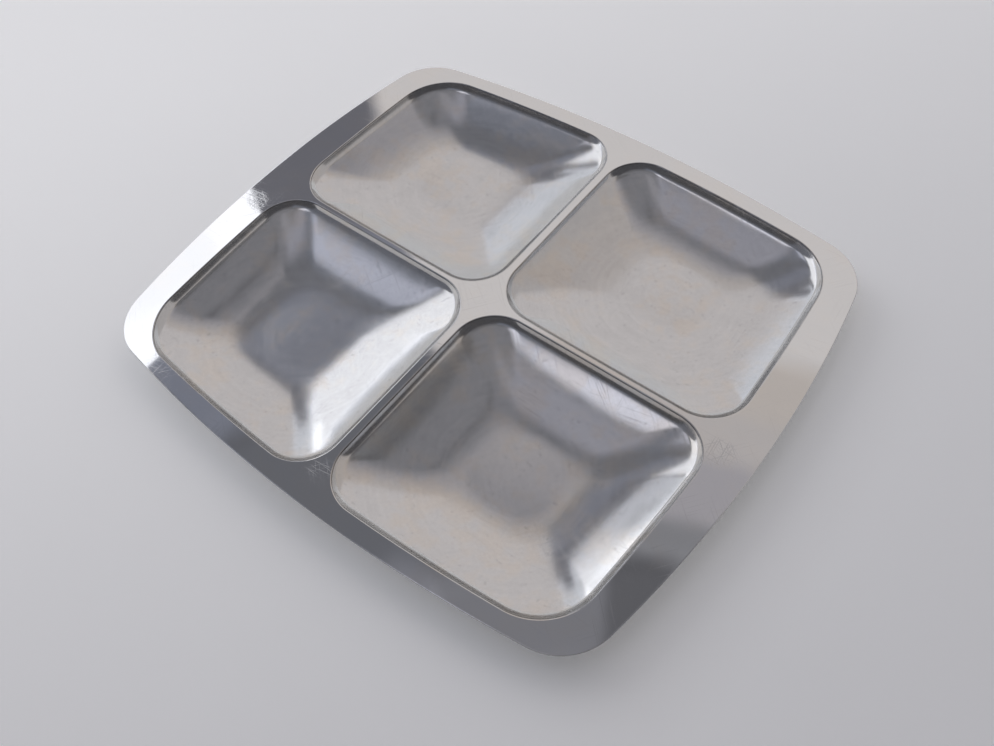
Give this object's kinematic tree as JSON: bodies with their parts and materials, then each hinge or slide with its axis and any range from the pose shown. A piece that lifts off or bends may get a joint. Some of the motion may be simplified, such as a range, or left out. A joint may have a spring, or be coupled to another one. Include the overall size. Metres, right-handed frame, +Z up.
{
  "type": "appetizer tray",
  "caption": "Shallow stainless steel appetizer tray pressed from sheet, with bowed edges, wide level end flanges and dished rounded-square wells kept apart by narrow ridges.",
  "frame": {"origin": "under the centre of the tray, on the surface that the wells stand on", "axes": "+X along the tray's length, between the wide end flanges; +Y across it, towards the rear; +Z up, out of the wells"},
  "size_m": [0.32, 0.279, 0.0148],
  "materials": {
    "polished_steel": "stainless steel, mirror polished, with fine scratches from use",
    "satin_steel": "stainless steel, fine satin polish that blurs reflections"
  },
  "bodies": {
    "root": {"rim_and_dividers": "polished_steel", "well_right_rear": "satin_steel", "well_left_rear": "satin_steel", "well_left_front": "satin_steel", "well_right_front": "satin_steel"}
  },
  "joints": []
}
